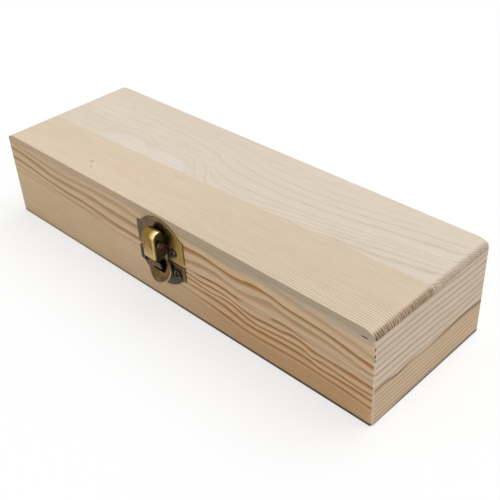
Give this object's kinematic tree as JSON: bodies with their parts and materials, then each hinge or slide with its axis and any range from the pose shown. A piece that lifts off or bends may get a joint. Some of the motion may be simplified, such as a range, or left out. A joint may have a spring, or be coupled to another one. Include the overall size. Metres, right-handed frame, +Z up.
{
  "type": "wooden pencil box",
  "caption": "Long low pine box with a hinged lid, back hinges and a bronze hasp latch on the front, for pencils and keepsakes.",
  "frame": {"origin": "centre of the flat underside of the base", "axes": "+X along the box to the right seen from the latch side, -Y out of the latch side, +Z up through the lid"},
  "size_m": [0.225, 0.0812, 0.0447],
  "materials": {
    "base_front_wall": "raw sanded pine, grain along the piece",
    "base_back_wall": "raw sanded pine, grain along the piece",
    "base_left_wall": "raw sanded pine, grain along the piece",
    "base_right_wall": "raw sanded pine, grain along the piece",
    "base_bottom_panel": "raw sanded plywood",
    "lid_front_wall": "raw sanded pine, grain along the piece",
    "lid_back_wall": "raw sanded pine, grain along the piece",
    "lid_left_wall": "raw sanded pine, grain along the piece",
    "lid_right_wall": "raw sanded pine, grain along the piece",
    "lid_top_front_board": "raw sanded pine, grain along the piece",
    "lid_top_rear_board": "raw sanded pine, grain along the piece",
    "latch_upper_plate": "antique bronze plating, rubbed bright on the proud edges",
    "latch_lower_plate": "antique bronze plating, rubbed bright on the proud edges",
    "latch_hasp": "antique bronze plating, rubbed bright on the proud edges",
    "latch_pin": "antique bronze plating, rubbed bright on the proud edges",
    "latch_upper_screws": "antique bronze plating, rubbed bright on the proud edges",
    "latch_lower_screws": "antique bronze plating, rubbed bright on the proud edges",
    "left_hinge_lid_leaf": "antique bronze plating, rubbed bright on the proud edges",
    "left_hinge_base_leaf": "antique bronze plating, rubbed bright on the proud edges",
    "left_hinge_pin": "antique bronze plating, rubbed bright on the proud edges",
    "left_hinge_lid_screws": "antique bronze plating, rubbed bright on the proud edges",
    "left_hinge_base_screws": "antique bronze plating, rubbed bright on the proud edges",
    "right_hinge_lid_leaf": "antique bronze plating, rubbed bright on the proud edges",
    "right_hinge_base_leaf": "antique bronze plating, rubbed bright on the proud edges",
    "right_hinge_pin": "antique bronze plating, rubbed bright on the proud edges",
    "right_hinge_lid_screws": "antique bronze plating, rubbed bright on the proud edges",
    "right_hinge_base_screws": "antique bronze plating, rubbed bright on the proud edges"
  },
  "bodies": {
    "base": {"base_front_wall": "base_front_wall", "base_back_wall": "base_back_wall", "base_left_wall": "base_left_wall", "base_right_wall": "base_right_wall", "base_bottom_panel": "base_bottom_panel", "latch_lower_plate": "latch_lower_plate", "latch_lower_screws": "latch_lower_screws", "left_hinge_base_leaf": "left_hinge_base_leaf", "left_hinge_pin": "left_hinge_pin", "left_hinge_base_screws": "left_hinge_base_screws", "right_hinge_base_leaf": "right_hinge_base_leaf", "right_hinge_pin": "right_hinge_pin", "right_hinge_base_screws": "right_hinge_base_screws"},
    "lid": {"lid_front_wall": "lid_front_wall", "lid_back_wall": "lid_back_wall", "lid_left_wall": "lid_left_wall", "lid_right_wall": "lid_right_wall", "lid_top_front_board": "lid_top_front_board", "lid_top_rear_board": "lid_top_rear_board", "latch_upper_plate": "latch_upper_plate", "latch_upper_screws": "latch_upper_screws", "latch_pin": "latch_pin", "left_hinge_lid_leaf": "left_hinge_lid_leaf", "left_hinge_lid_screws": "left_hinge_lid_screws", "right_hinge_lid_leaf": "right_hinge_lid_leaf", "right_hinge_lid_screws": "right_hinge_lid_screws"},
    "hasp": {"latch_hasp": "latch_hasp"}
  },
  "joints": [
    {"name": "lid_hinge", "type": "hinge", "parent": "base", "child": "lid", "pos_m": [0, 0.0372, 0.0254], "axis": [-1, 0, 0], "range_deg": [0, 180]},
    {"name": "hasp_hinge", "type": "hinge", "parent": "lid", "child": "hasp", "pos_m": [0.00125, -0.0397, 0.03415], "axis": [-1, 0, 0], "range_deg": [0, 170]}
  ]
}
